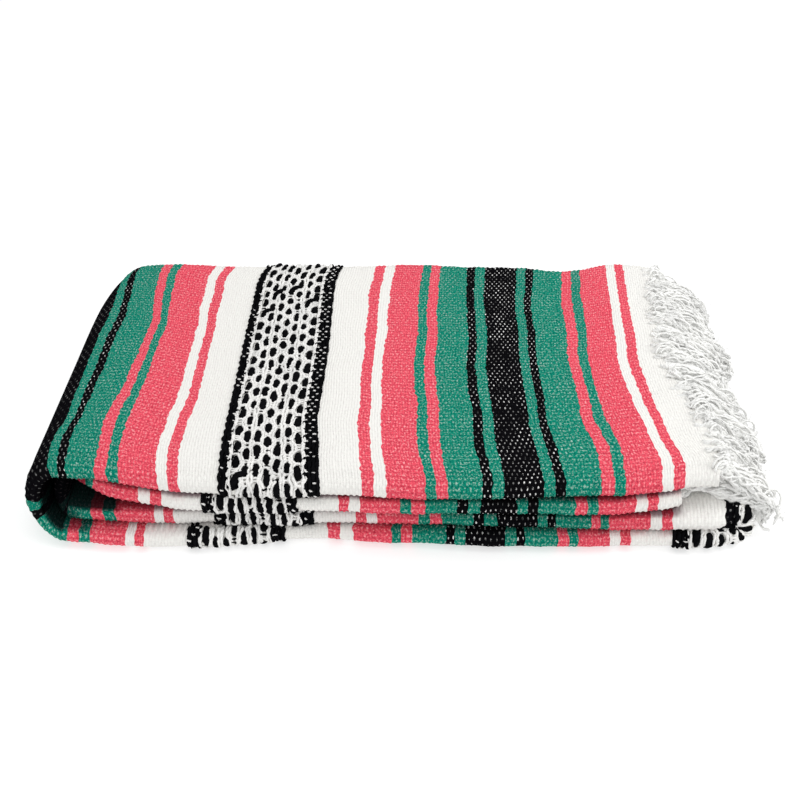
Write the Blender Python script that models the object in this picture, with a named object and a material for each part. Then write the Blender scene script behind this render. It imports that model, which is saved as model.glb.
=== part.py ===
"""A folded Mexican blanket, lying on a floor, with its fringe at the right.

The cloth is 1.92 m long and 1.27 m wide. It is folded in half twice across
its width, which gives a strip of four layers, and then in half twice along
its length, which gives four such strips on top of each other. Here they are
called the first (top), second, third and fourth (bottom) pack.

Sizes are in millimetres until the meshes are made. X runs along the
blanket's length, with the folds at the left and the fringe at the right.
Y runs away from the viewer, Z up. A place in a pack's section has a depth y
and a height n from the pack's middle.
"""

import math

import bmesh
import bpy

NAME = "mexican_blanket"
MM = 0.001

# Cloth
SHEET = 3.0  # thickness of the woven cloth
GAP = 0.3  # between layers and at seams
HALF = 2 * SHEET + 1.5 * GAP  # half of a pack of four layers
PITCH = 2 * HALF + GAP  # from pack to pack
RETURN = 26.0  # how much of the folded-under layer belongs to a wall

# Folded size
DEPTH = 316.0  # front noses to the back edge
LEFT = -229.0  # the outer loop's furthest point
END_FIRST = 231.0  # where the top pack's cloth ends
END_SECOND = 211.0
FOLD_X = 249.0  # centre of the fold that joins the third and fourth packs
SIDE_SHIFT = -12.4  # these two put the middle of the whole at the origin
DEPTH_SHIFT = 1.055

# Loops at the left
LIFT = 4.0  # the upper packs rise towards the loops
OUTER_REACH = 21.0
INNER_X = -197.5
NOSE_STRETCH = 1.4  # a nose is longer than it is high

# Ribs of the patterned blocks
RIB_COUNT = 7
RIB_HEIGHT = 1.4

FRACTIONS = (0.14, 0.5)  # depths at which a flat layer has points

Z_FOURTH = HALF
Z_THIRD = HALF + PITCH
Z_SECOND = HALF + 2 * PITCH
Z_FIRST = HALF + 3 * PITCH
OUTER_X = LEFT + OUTER_REACH + HALF

# Each pack from right to left: X, how far its front edge lies behind the
# front line, and how far its back edge reaches behind the back line
PACKS = {
    "first": (
        (END_FIRST, 12, -8), (216, 11, -4), (196, 6, -2), (172, 3, -9), (147, 2, -13),
        (118, 0, -6), (64, -2, -1), (40, -2, 2), (8, 1, 3), (-26, 2, 2), (-84, 2, 4),
        (-118, 5, 5), (-133, 7, 5), (-149, 10, 5), (-165, 13, 5), (-181, 16, 4),
        (OUTER_X, 17, 2),
    ),
    "second": (
        (END_SECOND, 8, -9), (197, 4, -8), (152, -1, -9), (100, 0, -6), (42, -1, -2),
        (-44, 2, -1), (-101, 1, 1), (-118, 3, 1), (-133, 6, 2), (-149, 9, 2),
        (-165, 13, 1), (-181, 20, 0), (INNER_X, 26, -2),
    ),
    "third": (
        (FOLD_X, 6, -7), (232, 1, -5), (179, 0, -4), (81, 3, -4), (15, 5, -1),
        (-32, 5, -1), (-89, 5, 0), (-149, 4, 0), (INNER_X, 9, -2),
    ),
    "fourth": (
        (FOLD_X, 3, -7), (232, -1, -6), (160, -3, -4), (94, -4, -2), (55, -2, 1),
        (14, -1, 0), (-13, 2, 0), (-54, 1, -1), (-112, -6, 0), (-165, -6, 1),
        (OUTER_X, -2, 1),
    ),
}

# How far the left folds and the right ends bulge out: depth share, bulge
LEFT_BULGE = ((0, 0), (0.14, 4), (0.5, 16), (0.78, 25), (0.91, 25), (1, 20))
FIRST_END = ((0, 0), (0.14, 5), (0.3, -3), (0.5, -12), (0.76, -7), (0.91, -3), (1, 0))
SECOND_END = ((0, 0), (0.2, -4), (0.45, 2), (0.7, -3), (1, 0))
FOLD_END = ((0, -4), (0.15, 0), (0.4, 3), (0.65, -1), (0.85, 2), (1, -5))

# Where a pack's right end begins to bulge, over what length, and how
END_SHARES = {
    "first": (90, 130, FIRST_END),
    "second": (120, 90, SECOND_END),
    "third": (150, 100, FOLD_END),
}

# Soft waves of the top: X, depth share, reach in X, reach in depth, height
WAVES = (
    (-165, 0.45, 50, 0.35, 1.0),
    (-115, 0.75, 30, 0.30, 0.8),
    (-10, 0.30, 40, 0.30, 0.9),
    (30, 0.85, 45, 0.25, 1.0),
    (90, 0.45, 35, 0.35, 1.1),
    (200, 0.72, 26, 0.22, 1.2),
    (185, 0.18, 40, 0.22, 1.3),
)

# Patterned blocks whose ribs show: pack, first X, last X
BLOCKS = (
    ("first", -30.0, -80.0),
    ("second", -47.7, -97.7),
    ("third", -35.6, -85.6),
    ("fourth", -58.5, -108.5),
)

# Fringe: pack, rows of locks from the top as (height, radius over the fold)
FRINGES = {
    "upper_fringe": {"pack": "first", "locks": 40, "rows": ((2.4, 22.2), (-2.4, 19.1))},
    "inner_fringe": {"pack": "second", "locks": 36, "rows": ((0.0, 16.0),)},
}
STRIP = 3.0  # width of the strip that carries the locks
LOCK_WIDTH = 3.4
LOCK_HEIGHT = 2.2

MATERIALS = {
    "upper_stretch": ("woven_coral", (0.86, 0.13, 0.18, 1)),
    "lower_stretch": ("woven_green", (0.02, 0.26, 0.16, 1)),
    "inner_stretch": ("woven_white", (0.88, 0.87, 0.83, 1)),
    "hidden_layers": ("woven_black", (0.02, 0.02, 0.022, 1)),
    "upper_fringe": ("fringe_yarn", (0.80, 0.80, 0.78, 1)),
    "inner_fringe": ("fringe_yarn_low", (0.72, 0.72, 0.70, 1)),
}


def smooth(value):
    """A soft step from 0 to 1."""
    value = min(1.0, max(0.0, value))
    return value * value * (3 - 2 * value)


def look_up(table, place):
    """The value of a table at a place, with soft steps between its rows."""
    if place <= table[0][0]:
        return table[0][1]
    for (a, low), (b, high) in zip(table, table[1:]):
        if place <= b:
            return low + (high - low) * smooth((place - a) / (b - a))
    return table[-1][1]


def rise(x):
    """How much the two upper packs rise towards the loops at the left."""
    return LIFT * smooth((-118 - x) / 64)


def place_at(x, z, normal, edges, left=0.0, end=0.0, table=None, ribs=0.0):
    """One place on the way of the packs, with its section's own values."""
    return {
        "x": x, "z": z, "nx": normal[0], "nz": normal[1], "front": edges[0],
        "back": edges[1], "left": left, "end": end, "table": table, "ribs": ribs,
    }


def row_place(pack, row):
    """The place of one row of a pack's table."""
    x, front, back = row
    levels = {"first": Z_FIRST, "second": Z_SECOND, "third": Z_THIRD, "fourth": Z_FOURTH}
    lift = rise(x) if pack in ("first", "second") else 0.0
    up = 1.0 if pack in ("first", "third") else -1.0
    start, length, table = END_SHARES.get(pack, END_SHARES["third"])
    return place_at(
        x, levels[pack] + lift, (0.0, up), (front, back),
        smooth((150 - x) / 250), smooth((x - start) / length), table,
    )


def flat_place(pack, x, ribs=0.0):
    """A place on a pack's straight length, straight between its rows."""
    rows = PACKS[pack]
    for right, left in zip(rows, rows[1:]):
        if x >= left[0]:
            break
    a, b = row_place(pack, right), row_place(pack, left)
    share = (right[0] - x) / (right[0] - left[0])
    place = dict(a, ribs=ribs)
    for key in ("x", "z", "front", "back", "left", "end"):
        place[key] = a[key] + (b[key] - a[key]) * share
    return place


def rib_places(pack):
    """Places of a pack's ribs, each with its share of the rib's height."""
    places = []
    for name, first, last in BLOCKS:
        if name == pack:
            step = (last - first) / (2 * RIB_COUNT)
            places += [(first + step * i, i % 2) for i in range(2 * RIB_COUNT + 1)]
    return places


def flat_run(pack, ribs=True, to_left=True, cut=0.0):
    """Places along a pack's straight length; cut shortens it at the right."""
    raised = dict(rib_places(pack)) if ribs else {}
    wanted = sorted([row[0] for row in PACKS[pack]] + list(raised), reverse=True)
    wanted[0] -= cut
    run = [flat_place(pack, x, raised.get(x, 0)) for x in wanted]
    return run if to_left else run[::-1]


def loop_run(reach, turn, packs, steps):
    """Places round a loop at the left, between two packs' last rows."""
    first, last = (row_place(pack, PACKS[pack][-1]) for pack in packs)
    middle = (first["z"] + last["z"]) / 2
    high = abs(first["z"] - last["z"]) / 2
    run = []
    for i in range(1, steps):
        angle = math.pi * i / steps
        away, up = math.sin(angle), math.cos(angle) * turn
        size = math.hypot(away / reach, up / high) * turn
        normal = (-away / reach / size, up / high / size)
        share = smooth(i / steps)
        front = first["front"] + (last["front"] - first["front"]) * share + 5 * away
        back = first["back"] + (last["back"] - first["back"]) * share - 4 * away
        run.append(
            place_at(
                first["x"] - reach * away, middle + high * up, normal,
                (front, back), first["left"],
            )
        )
    return run


def fold_run(steps):
    """Places round the fold at the right, from the fourth pack to the third."""
    low, top = (row_place(pack, PACKS[pack][0]) for pack in ("fourth", "third"))
    middle, radius = (top["z"] + low["z"]) / 2, (top["z"] - low["z"]) / 2
    run = []
    for i in range(1, steps):
        angle = -math.pi / 2 + math.pi * i / steps
        out, up = math.cos(angle), math.sin(angle)
        share = smooth(i / steps)
        front = low["front"] + (top["front"] - low["front"]) * share + 3 * out
        back = low["back"] + (top["back"] - low["back"]) * share
        run.append(
            place_at(
                FOLD_X + radius * out, middle + radius * up, (out, up),
                (front, back), 0.0, low["end"], low["table"],
            )
        )
    return run


def section_line(place):
    """Depths of a section: its nose's centre, its flat points, its back."""
    back = DEPTH / 2 + place["back"]
    nose = -DEPTH / 2 + place["front"] + HALF * NOSE_STRETCH
    step = back - RETURN - 2 * GAP
    return nose, [nose + (back - nose) * f for f in FRACTIONS] + [step], back


def wall_section(place, curl, steps, waves):
    """Outer and inner points of the outer cloth's section, as (y, n)."""
    nose, flats, back = section_line(place)
    curl_n = (HALF + GAP / 2) / 2
    curl_r = SHEET + GAP / 2
    sides = []
    for outer in (True, False):
        radius = curl_r if outer else GAP / 2
        level = HALF if outer else HALF - SHEET
        hump = place["ribs"] * RIB_HEIGHT if outer else 0.0
        points = [(back - RETURN, curl_n - radius)]
        for i in range(curl + 1):
            angle = -math.pi / 2 + math.pi * i / curl
            push = radius + (waves + hump * (waves > 0)) * (outer and i > curl / 2)
            points.append((back - curl_r + push * math.cos(angle), curl_n + push * math.sin(angle)))
        top = level + (hump if waves else 0.0)
        points += [(y, top) for y in reversed(flats)]
        for i in range(steps + 1):
            angle = math.pi / 2 - math.pi * i / steps
            share = math.cos(angle)
            if waves and angle > 0:
                share = 1.0
            push = level + hump * share
            points.append((nose - NOSE_STRETCH * push * math.cos(angle), push * math.sin(angle)))
        points += [(y, -level) for y in flats]
        points.append((back - 1.0, -level))
        sides.append(points)
    return sides


def core_section(place):
    """Points of the hidden layers' section, as (y, n): upper, then lower side."""
    nose, flats, back = section_line(place)
    level = SHEET + GAP / 2
    step = flats[-1]
    upper = [(back - 3.0, -GAP / 2), (step + 0.2, -GAP / 2), (step, level)]
    lower = [(back - 3.0, -level), (step + 3.0, -level), (step, -level)]
    upper += [(y, level) for y in reversed(flats[:-1])]
    lower += [(y, -level) for y in reversed(flats[:-1])]
    half = level * math.sqrt(0.5)
    for out, n in ((0.0, level), (half, half), (half + 0.8 * (level - half), 0.2 * half)):
        upper.append((nose - NOSE_STRETCH * out, n))
        lower.append((nose - NOSE_STRETCH * out, -n))
    return [upper, lower]


def bulge(place, y):
    """How far a point is moved in X by the loops' and the ends' own shape.

    It runs straight between the section's own depths, so that layers and
    the fringe's strip keep their distance from each other.
    """
    nose, flats, back = section_line(place)
    depths = [nose - 12, nose, *flats, back]
    y = min(max(y, depths[0]), back)
    values = []
    for at in depths:
        depth = (at + DEPTH / 2) / DEPTH
        moved = -place["left"] * look_up(LEFT_BULGE, depth)
        if place["table"]:
            moved += place["end"] * look_up(place["table"], depth)
        values.append(moved)
    i = max(k for k in range(len(depths) - 1) if depths[k] <= y)
    part = (y - depths[i]) / (depths[i + 1] - depths[i])
    return values[i] + (values[i + 1] - values[i]) * part


def wave(x, y):
    """Height of the top's soft waves."""
    depth = (y + DEPTH / 2) / DEPTH
    height = 0.0
    for at, deep, reach, reach_deep, high in WAVES:
        away = math.hypot((x - at) / reach, (depth - deep) / reach_deep)
        height += high * (1 - smooth(away))
    return height


def set_down(place, y, n):
    """A section's point in the blanket's own frame, in metres."""
    x = place["x"] + place["nx"] * n
    z = place["z"] + place["nz"] * n
    x += bulge(place, y)
    return ((x + SIDE_SHIFT) * MM, (y + DEPTH_SHIFT) * MM, z * MM)


def skin(bm, here, there):
    """Two triangles between each pair of points, always cut the same way."""
    for i in range(len(here) - 1):
        bm.faces.new((here[i], here[i + 1], there[i + 1]))
        bm.faces.new((here[i], there[i + 1], there[i]))


def sweep(bm, rings, turned=False):
    """A closed wall through rings of outer and inner points.

    Turned, the second side's points run against those of the wall round it.
    """
    made = [[[bm.verts.new(p) for p in side] for side in ring] for ring in rings]
    for (outer, inner), (outer_next, inner_next) in zip(made, made[1:]):
        skin(bm, outer, outer_next)
        if turned:
            skin(bm, inner[::-1], inner_next[::-1])
        else:
            skin(bm, inner, inner_next)
        for i in (0, -1):
            bm.faces.new((outer[i], inner[i], inner_next[i], outer_next[i]))
    for outer, inner in (made[0], made[-1]):
        for i in range(len(outer) - 1):
            bm.faces.new((outer[i], outer[i + 1], inner[i + 1], inner[i]))
    bmesh.ops.recalc_face_normals(bm, faces=bm.faces)


def wall_rings(places, curl, steps, waved=()):
    rings = []
    for place in places:
        waves = 0.001 if place in waved else 0.0
        outer, inner = wall_section(place, curl, steps, waves)
        ring = [[], []]
        for side, points in enumerate((outer, inner)):
            for y, n in points:
                top = side == 0 and waves and n > HALF * 0.7
                ring[side].append(set_down(place, y, n + (wave(place["x"], y) if top else 0.0)))
        rings.append(ring)
    return rings


def add_object(name, bm, collection):
    slot, colour = MATERIALS[name]
    mesh = bpy.data.meshes.new(name)
    bmesh.ops.triangulate(bm, faces=bm.faces)
    bmesh.ops.recalc_face_normals(bm, faces=bm.faces)
    bm.to_mesh(mesh)
    bm.free()
    material = bpy.data.materials.new(slot)
    material.use_nodes = True
    shader = material.node_tree.nodes["Principled BSDF"]
    shader.inputs["Base Color"].default_value = colour
    shader.inputs["Roughness"].default_value = 0.92
    shader.inputs["Metallic"].default_value = 0.0
    mesh.materials.append(material)
    made = bpy.data.objects.new(name, mesh)
    collection.objects.link(made)
    return made


def outer_loop():
    return loop_run(OUTER_REACH, 1.0, ("first", "fourth"), 8)


def inner_loop():
    reach = (Z_SECOND + LIFT - Z_THIRD) / 2
    return loop_run(reach, -1.0, ("third", "second"), 6)


def make_walls(collection):
    first = flat_run("first")
    seam = flat_place("fourth", OUTER_X)
    seam["x"] -= GAP
    upper = first + outer_loop() + [seam]
    lower = flat_run("fourth", to_left=False) + fold_run(6) + flat_run("third")[:1]
    inner = flat_run("third", cut=GAP) + inner_loop() + flat_run("second", to_left=False)
    for name, places, curl, steps, waved in (
        ("upper_stretch", upper, 4, 6, first),
        ("lower_stretch", lower, 2, 4, ()),
        ("inner_stretch", inner, 2, 4, ()),
    ):
        bm = bmesh.new()
        sweep(bm, wall_rings(places, curl, steps, waved))
        add_object(name, bm, collection)


def make_core(collection):
    bm = bmesh.new()
    rings = []
    places = flat_run("first", ribs=False) + outer_loop()
    places += flat_run("fourth", ribs=False, to_left=False) + fold_run(6)
    places += flat_run("third", ribs=False) + inner_loop()
    places += flat_run("second", ribs=False, to_left=False)
    for place in places:
        rings.append([[set_down(place, y, n) for y, n in side] for side in core_section(place)])
    sweep(bm, rings, turned=True)
    add_object("hidden_layers", bm, collection)


def lock_noise(i, row, turn):
    """A steady uneven value from -1 to 1 for one lock."""
    return math.sin(1.7 * i + 2.3 * row + turn) * 0.6 + math.sin(0.61 * i * (1 + turn) + row) * 0.4


def lean(y, part):
    """How far locks lean along the edge, the same for neighbours."""
    wide = math.sin(y / 19.0) * 4.0 + math.sin(y / 8.7 + 1.0) * 1.8
    return wide * part * part - 5.0 * part * smooth(-y / DEPTH)


def lock_places(start, level, radius, i, row):
    """Middle points of one lock in X and Z, with its part of the length."""
    middle = (Z_THIRD + Z_FOURTH) / 2
    slant = 45 + 4 * lock_noise(i, row, 2)
    side = radius * math.sin(math.radians(slant))
    top = radius * math.cos(math.radians(slant))
    out = 5.0 + 2.5 * lock_noise(i, row, 0)
    foot = 3.6 if row == 0 and radius > 20 else 8.0
    foot += 3.0 * (1 + lock_noise(i, row, 1))
    return (
        (start + 4.0, level - 0.3, 0.08),
        (FOLD_X - 1.0, middle + radius, 0.35),
        (FOLD_X + side, middle + top, 0.62),
        (FOLD_X + radius, middle + 1.0, 0.82),
        (FOLD_X + radius + out * (radius > 20) * 0.8, foot, 1.0),
    )


def make_fringe(name, collection):
    row = FRINGES[name]
    pack, count, levels = row["pack"], row["locks"], row["rows"]
    start = (END_FIRST if pack == "first" else END_SECOND) + GAP
    place = flat_place(pack, start - GAP)
    nose, flats, back = section_line(place)
    front, rear = nose - 5.0, back - 6.0
    high = 4.6
    bm = bmesh.new()
    bmesh.ops.create_grid(bm, x_segments=count, y_segments=len(levels), size=0.5)
    depths = [front + (rear - front) * i / count for i in range(count + 1)]
    for knot in (nose, *flats):
        depths[min(range(count + 1), key=lambda i: abs(depths[i] - knot))] = knot
    for vert in bm.verts:
        y = depths[round((vert.co.x + 0.5) * count)]
        x = start + STRIP + bulge(place, y)
        z = place["z"] - 2 * high * vert.co.y
        vert.co = ((x + SIDE_SHIFT) * MM, (y + DEPTH_SHIFT) * MM, z * MM)
    faces = list(bm.faces)
    made = bmesh.ops.extrude_face_region(bm, geom=faces)
    for vert in (v for v in made["geom"] if isinstance(v, bmesh.types.BMVert)):
        vert.co.x -= STRIP * MM
    rooted = [f for f in faces if f.is_valid] or list(bm.faces)[: len(faces)]
    roots = sorted(rooted, key=lambda f: (-round(f.calc_center_median().z / MM), f.calc_center_median().y))
    for index, face in enumerate(roots):
        grow_lock(bm, face, index % count, index // count, levels[index // count], place, start)
    bmesh.ops.recalc_face_normals(bm, faces=bm.faces)
    add_object(name, bm, collection)


def grow_lock(bm, face, i, row, level, place, start):
    """Draws one lock out of a face of its strip, section by section."""
    centre = face.calc_center_median()
    y = centre.y / MM - DEPTH_SHIFT
    shift, fold_shift = bulge(place, y), bulge(flat_place("third", FOLD_X), y)
    steps = lock_places(start + STRIP, place["z"] + level[0], level[1], i, row)
    before = (start + STRIP, place["z"] + level[0])
    for k, (x, z, part) in enumerate(steps):
        face = bmesh.ops.extrude_discrete_faces(bm, faces=[face])["faces"][0]
        after = steps[min(k + 1, len(steps) - 1)]
        along = math.atan2(after[1] - before[1], after[0] - before[0])
        before = (x, z)
        size = 1.0 - 0.45 * max(0.0, part - 0.1)
        wide = LOCK_WIDTH * size * (1 + 0.12 * lock_noise(i, row, 3))
        moved = shift if part < 0.1 else fold_shift
        middle = y + lean(y, part)
        place_lock(face, (x + moved, middle, z), along, wide, LOCK_HEIGHT * size)


def place_lock(face, at, along, wide, high):
    """Sets the four corners of a lock's section across its way."""
    x, y, z = at
    for vert, (side, up) in zip(face.verts, corner_signs(face)):
        vert.co = (
            (x - up * high * math.sin(along) + SIDE_SHIFT) * MM,
            (y + side * wide + DEPTH_SHIFT) * MM,
            (z + up * high * math.cos(along)) * MM,
        )


def corner_signs(face):
    """Which corner of its section each point of a face is, as halves."""
    rear_first = sorted(face.verts, key=lambda v: v.co.y)
    signs = {}
    for side, pair in ((-0.5, rear_first[:2]), (0.5, rear_first[2:])):
        low, high = sorted(pair, key=lambda v: v.co.z)
        signs[low], signs[high] = (side, -0.5), (side, 0.5)
    return [signs[v] for v in face.verts]


def main():
    for old in list(bpy.data.objects):
        bpy.data.objects.remove(old, do_unlink=True)
    collection = bpy.data.collections.new(NAME)
    bpy.context.scene.collection.children.link(collection)
    make_walls(collection)
    make_core(collection)
    for name in FRINGES:
        make_fringe(name, collection)


main()
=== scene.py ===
import random
from math import asin, cos, dist, floor, hypot, pi, radians, sin
from types import SimpleNamespace

import bmesh
import bpy
from mathutils import Matrix, Vector


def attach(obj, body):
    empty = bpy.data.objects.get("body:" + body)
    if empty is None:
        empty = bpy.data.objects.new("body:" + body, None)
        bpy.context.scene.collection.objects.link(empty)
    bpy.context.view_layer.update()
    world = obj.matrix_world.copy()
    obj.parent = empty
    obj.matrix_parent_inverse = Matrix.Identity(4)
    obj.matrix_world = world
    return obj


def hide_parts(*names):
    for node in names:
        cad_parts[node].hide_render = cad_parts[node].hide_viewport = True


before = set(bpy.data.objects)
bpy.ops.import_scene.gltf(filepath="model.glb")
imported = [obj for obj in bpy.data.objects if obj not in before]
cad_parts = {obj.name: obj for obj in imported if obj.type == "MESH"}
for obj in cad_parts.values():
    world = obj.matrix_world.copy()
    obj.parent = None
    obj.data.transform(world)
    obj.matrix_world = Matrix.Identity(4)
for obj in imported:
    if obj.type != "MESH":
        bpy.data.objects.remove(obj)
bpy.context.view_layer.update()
bpy.ops.object.select_all(action="DESELECT")

# lengths are millimetres in the blanket's own frame until a mesh is made

# ------- studio
studio = {
    "cameraPlace": (0.0682, -0.64865, 0.4496),
    "cameraDown": 33.81,
    "cameraTurn": -5.46,
    "cameraRoll": -3.26,
    "lens": 44.57,
    "sensor": 36,
    "floorSize": 14,
    "floorWhite": 0.48,
    "floorGlow": 0.60,
    "skyStrength": 0.80,
    "lights": {  # place, size, power
        "softTop": ((0.1, 0.25, 1.5), 1.6, 5.2),
        "softFront": ((-0.5, -1.4, 1.0), 1.2, 4.2),
        "softSide": ((1.3, -0.1, 0.9), 1.0, 8.0),
    },
    "lightAim": (0, 0, 0.03),
}


def setInputs(node, values):
    for key, value in values.items():
        node.inputs[key].default_value = value


def addCamera():
    down, turn, roll = (radians(studio["camera" + k]) for k in ("Down", "Turn", "Roll"))
    ahead = Vector((sin(turn) * cos(down), cos(turn) * cos(down), -sin(down)))
    flat = Vector((cos(turn), -sin(turn), 0))
    up = flat.cross(ahead)
    right = flat * cos(roll) + up * sin(roll)
    above = up * cos(roll) - flat * sin(roll)
    turned = Matrix((right, above, -ahead)).transposed()
    bpy.ops.object.camera_add(location=studio["cameraPlace"], rotation=turned.to_euler())
    camera = bpy.context.object
    camera.name = "camera"
    camera.data.lens = studio["lens"]
    camera.data.sensor_width = studio["sensor"]
    bpy.context.scene.camera = camera


def addLight(name, place, size, power):
    bpy.ops.object.light_add(type="AREA", location=place)
    lamp = bpy.context.object
    lamp.name = name
    lamp.data.shape = "DISK"
    lamp.data.size = size
    lamp.data.energy = power
    aim = Vector(studio["lightAim"]) - Vector(place)
    lamp.rotation_euler = aim.to_track_quat("-Z", "Y").to_euler()


def addStage():
    bpy.ops.mesh.primitive_plane_add(size=studio["floorSize"], location=(0, 0, 0))
    paper = bpy.context.object
    paper.name = "floor"
    paint = bpy.data.materials.new("floorPaper")
    paint.use_nodes = True
    setInputs(paint.node_tree.nodes["Principled BSDF"], {
        "Base Color": (studio["floorWhite"],) * 3 + (1,), "Roughness": 1.0, "Specular IOR Level": 0.0,
        "Emission Color": (1, 1, 1, 1), "Emission Strength": studio["floorGlow"],
    })
    paper.data.materials.append(paint)
    world = bpy.data.worlds.new("paleRoom")
    bpy.context.scene.world = world
    world.use_nodes = True
    setInputs(world.node_tree.nodes["Background"], {"Color": (1, 1, 1, 1), "Strength": studio["skyStrength"]})
    for name, row in studio["lights"].items():
        addLight(name, *row)


addCamera()
addStage()
bpy.context.scene.view_settings.view_transform = "Standard"
print("studio set")

# ------- the blanket's own sizes, as the solids have them
blanket = {
    "sheet": 3.0,
    "gap": 0.3,
    "returnWidth": 26.0,
    "depth": 316.0,
    "left": -229.0,
    "endFirst": 231.0,
    "endSecond": 211.0,
    "foldX": 249.0,
    "sideShift": -12.4,
    "depthShift": 1.055,
    "lift": 4.0,
    "liftFrom": -118.0,
    "liftLength": 64.0,
    "outerReach": 21.0,
    "outerBend": 27.4,
    "innerX": -197.5,
    "noseStretch": 1.4,
}
sheet, gap, depth, returnWidth = (blanket[k] for k in ("sheet", "gap", "depth", "returnWidth"))
endFirst, endSecond, foldX, innerX = (blanket[k] for k in ("endFirst", "endSecond", "foldX", "innerX"))
outerReach, noseStretch = (blanket[k] for k in ("outerReach", "noseStretch"))
half = 2 * sheet + 1.5 * gap
pitch = 2 * half + gap
outerX = blanket["left"] + outerReach + half
levels = {"fourth": half, "third": half + pitch, "second": half + 2 * pitch, "first": half + 3 * pitch}

# X, how far the front retreats, how far the back reaches
packRows = {
    "first": (
        (231, 12, -8), (216, 11, -4), (196, 6, -2), (172, 3, -9), (147, 2, -13), (118, 0, -6),
        (64, -2, -1), (40, -2, 2), (8, 1, 3), (-26, 2, 2), (-84, 2, 4), (-118, 5, 5),
        (-133, 7, 5), (-149, 10, 5), (-165, 13, 5), (-181, 16, 4), (outerX, 17, 2),
    ),
    "second": (
        (211, 8, -9), (197, 4, -8), (152, -1, -9), (100, 0, -6), (42, -1, -2), (-44, 2, -1),
        (-101, 1, 1), (-118, 3, 1), (-133, 6, 2), (-149, 9, 2), (-165, 12, 1), (-181, 21, 0),
        (-197.5, 32, -2),
    ),
    "third": (
        (249, 6, -7), (232, 1, -5), (179, 0, -4), (81, 3, -4), (15, 5, -1), (-32, 5, -1),
        (-89, 5, 0), (-149, 4, 0), (-197.5, 9, -2),
    ),
    "fourth": (
        (249, 3, -7), (232, -1, -6), (160, -3, -4), (94, -4, -2), (55, -2, 1), (14, -1, 0),
        (-13, 2, 0), (-54, 1, -1), (-112, -6, 0), (-165, -6, 1), (outerX, -2, 1),
    ),
}
leftBulge = ((0, 0), (0.14, 4), (0.5, 16), (0.78, 25), (0.91, 25), (1, 20))
firstEnd = ((0, 0), (0.14, 5), (0.3, -3), (0.5, -12), (0.76, -7), (0.91, -3), (1, 0))
secondEnd = ((0, 0), (0.2, -4), (0.45, 2), (0.7, -3), (1, 0))
foldEnd = ((0, -4), (0.15, 0), (0.4, 3), (0.65, -1), (0.85, 2), (1, -5))
# from this X on, within this length, a pack's end follows its table
endShares = {
    "first": (90, 130, firstEnd), "second": (120, 90, secondEnd),
    "third": (150, 100, foldEnd), "fourth": (150, 100, foldEnd),
}

# soft rises of the top: X, depth share, reach in X, reach in depth, height
topWaves = (
    (-165, 0.45, 50, 0.35, 1.0), (-115, 0.75, 30, 0.30, 0.8), (-10, 0.30, 40, 0.30, 0.9),
    (30, 0.85, 45, 0.25, 1.0), (90, 0.45, 35, 0.35, 1.1), (200, 0.72, 26, 0.22, 1.2),
    (185, 0.18, 40, 0.22, 1.3),
)
# creases of the top: from, to, half width, height
topCreases = (
    ((168, 158), (150, 70), 17, -1.9), ((226, -58), (150, -118), 20, 1.2),
    ((205, -20), (190, 60), 14, -0.9), ((-214, 30), (-128, -84), 16, 1.0),
    ((-196, -20), (-110, -120), 12, -0.8), ((62, 70), (108, -52), 14, -0.8),
    ((-20, -146), (46, -112), 12, -0.7), ((-30, 150), (30, 118), 13, -0.8),
    ((112, -146), (132, -96), 9, -0.9), ((-150, 120), (-96, 60), 14, -0.6),
)

# where the stripes' borders lie on the top: pattern place, X at each of these depths
lineDepths = (152, 91, 24, -34, -85, -109, -131, -152)
topLines = {
    20: (208, 204, 202, 202, 206, 208, 212, 211),
    62: (170, 166, 165, 164, 168, 171, 174, 173),
    100.5: (130, 125, 125, 125, 128, 131, 134, 135),
    142.5: (87, 85, 87, 88, 90, 92, 95, 97),
    196: (32, 31, 33, 34, 38, 40, 43, 47),
    222: (6, 6, 8, 9, 13, 16, 19, 21),
    267: (-43, -43, -38, -35, -33, -29, -26, -23),
    333: (-112, -111, -106, -101, -97, -95, -92, -89),
    378: (-161, -157, -148, -143, -141, -140, -136, -131),
    404: (-192, -183.5, -175, -169.5, -169, -166.5, -162.5, -159),
    419: (-208, -197, -187, -183.5, -184.5, -182, -178, -175),
    457.5: (-242, -234, -227, -221, -215, -216, -212, -206),
}
# and on the other packs' front folds: X, pattern place
packLines = {
    "fourth": (
        (-199, 523), (-191, 531), (-157, 564), (-144, 580), (-114, 609), (-107, 616.5), (-60, 667.5),
        (-49, 675), (-20, 704), (-3.5, 720), (23, 746), (37, 761), (60, 784.5), (72, 799.5),
        (97, 826.5), (109, 841.5), (131, 865), (145, 880), (166, 906), (179.5, 922), (208.5, 951),
        (249, 986),
    ),
    "third": (
        (249, 1012), (206, 1046), (191.5, 1062), (165, 1088), (153, 1103), (130, 1126.5), (118, 1141.5),
        (93, 1168.5), (77, 1183.5), (57, 1207), (41.5, 1222), (14, 1248), (0, 1264), (-29, 1293),
        (-36, 1300.5), (-86, 1351.5), (-95, 1359), (-123, 1388), (-137, 1404), (-164.5, 1430),
        (-181, 1445), (-197.5, 1466),
    ),
    "second": (
        (-197.5, 1546), (-188, 1557), (-183, 1564), (-149.5, 1590), (-133.5, 1606), (-103.5, 1635),
        (-96, 1642.5), (-48.5, 1693.5), (-40.5, 1701), (-12.5, 1730), (1.5, 1746), (28.5, 1772),
        (45, 1787), (64.5, 1810.5), (79.5, 1825.5), (102.5, 1852.5), (116.5, 1867.5), (139, 1891),
        (154, 1906), (178.5, 1932), (192.5, 1948), (211, 1968),
    ),
}

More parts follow.
